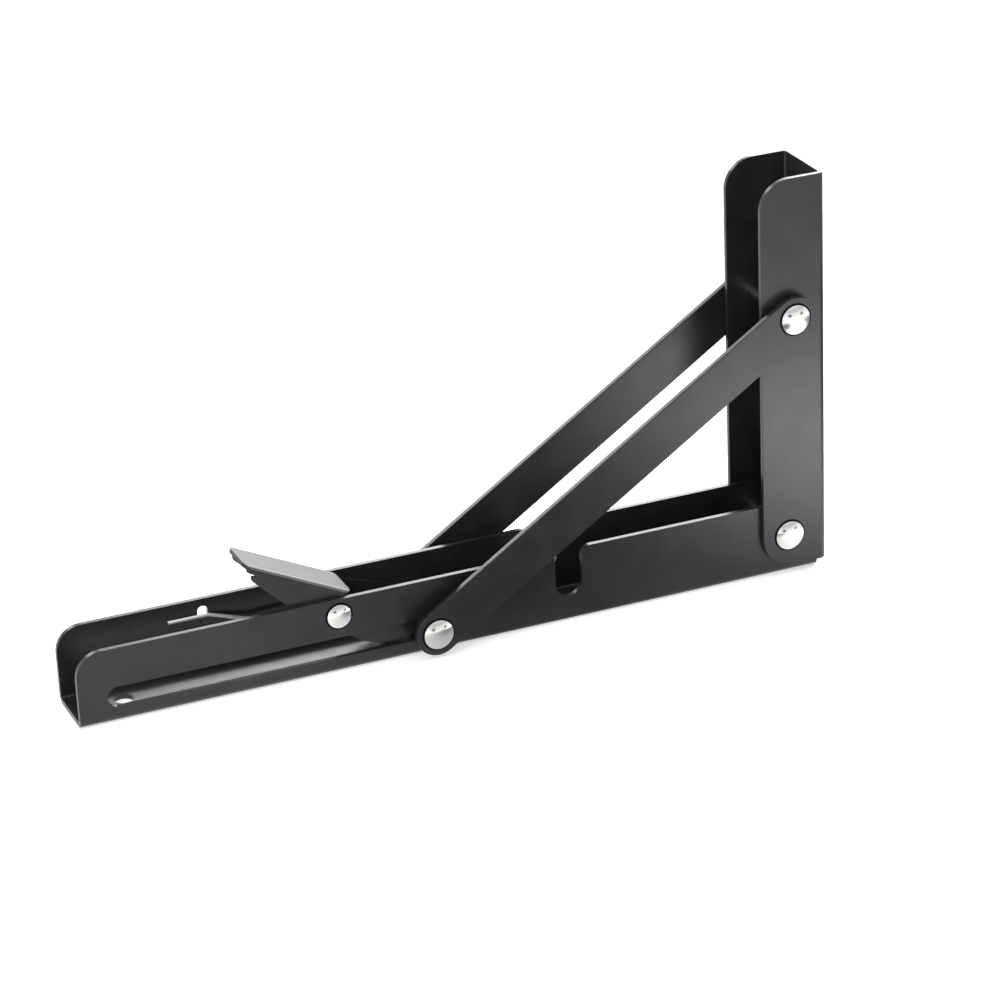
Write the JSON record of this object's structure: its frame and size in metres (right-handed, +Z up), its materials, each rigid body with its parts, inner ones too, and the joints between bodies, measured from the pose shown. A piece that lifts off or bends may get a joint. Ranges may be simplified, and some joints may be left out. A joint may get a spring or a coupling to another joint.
{
  "type": "folding shelf bracket",
  "caption": "Folding shelf bracket: two hinged sheet-metal channels held square by paired straps, a pin that slides in a slot, and a sprung release lever.",
  "frame": {"origin": "under the hinge pin's axis, on the long arm's shelf face, in the bracket's middle plane", "axes": "+X towards the wall, along the long arm; +Z up along the short arm; -Y is the front side"},
  "size_m": [0.3051, 0.0446, 0.1634],
  "materials": {
    "coat": "satin black powder coat",
    "rivets": "bright nickel",
    "wire": "bright"
  },
  "bodies": {
    "long_arm": {"long_arm": "coat", "lever_rivet": "rivets", "latch_spring": "wire"},
    "short_arm": {"short_arm": "coat", "hinge_rivet": "rivets"},
    "brace": {"front_strap": "coat", "rear_strap": "coat", "brace_rivet": "rivets", "front_washer": "rivets", "rear_washer": "rivets", "front_pin_head": "rivets", "rear_pin_head": "rivets"},
    "slide_pin": {"slide_pin": "rivets", "front_collar": "rivets", "rear_collar": "rivets"},
    "lever": {"release_lever": "coat"}
  },
  "joints": [
    {"name": "fold", "type": "hinge", "parent": "long_arm", "child": "short_arm", "pos_m": [0, 0, 0.0169], "axis": [0, -1, 0], "range_deg": [0, 90]},
    {"name": "brace_swing", "type": "hinge", "parent": "short_arm", "child": "brace", "pos_m": [0.001, 0, 0.1084], "axis": [0, 1, 0], "range_deg": [0, 120.62]},
    {"name": "pin_slide", "type": "slide", "parent": "long_arm", "child": "slide_pin", "axis": [-1, 0, 0], "range_m": [0, 0.12149]},
    {"name": "lever_press", "type": "hinge", "parent": "long_arm", "child": "lever", "pos_m": [-0.1865, 0, 0.0232], "axis": [0, -1, 0], "range_deg": [0, 22], "stiffness_Nm_per_rad": 0.15, "springref_deg": -17.19}
  ],
  "couplings": [
    {"joint": "brace_swing", "follows": "fold", "ratio": 1.3401},
    {"joint": "pin_slide", "follows": "fold", "m_per_rad": 0.077338}
  ]
}
